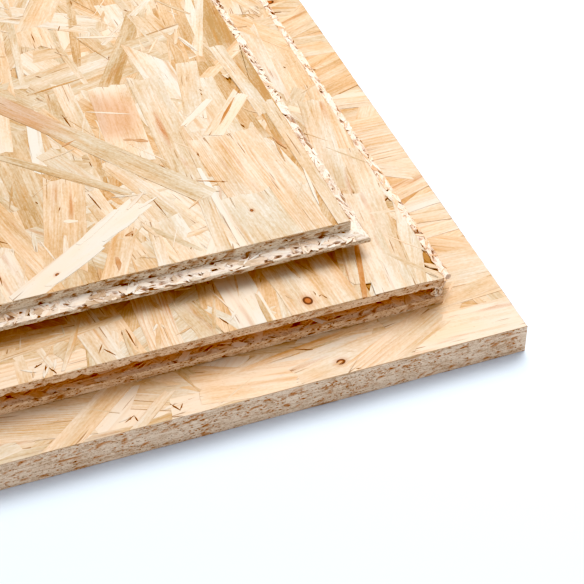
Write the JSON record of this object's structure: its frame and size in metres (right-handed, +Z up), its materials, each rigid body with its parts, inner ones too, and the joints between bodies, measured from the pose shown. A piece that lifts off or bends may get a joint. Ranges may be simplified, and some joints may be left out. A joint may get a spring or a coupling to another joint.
{
  "type": "stack of osb panels",
  "caption": "Staggered stack of oriented strand board sheets lying flat: a square-edged sheet under tongue-and-groove ones.",
  "frame": {"origin": "on the floor, in the middle of the outline of the whole stack", "axes": "+Y from the front to the back, along the panels' length; +X to the right, across their width; +Z up through the stack"},
  "size_m": [0.748, 2.1254, 0.054],
  "materials": {
    "square_board": "unsanded pressed strands, square sawn edges",
    "flipped_board": "unsanded pressed strands, milled tongues and grooves",
    "board": "unsanded pressed strands, milled tongues and grooves"
  },
  "bodies": {
    "root": {"bottom_panel": "square_board", "middle_panel": "flipped_board", "top_panel": "board"}
  },
  "joints": []
}
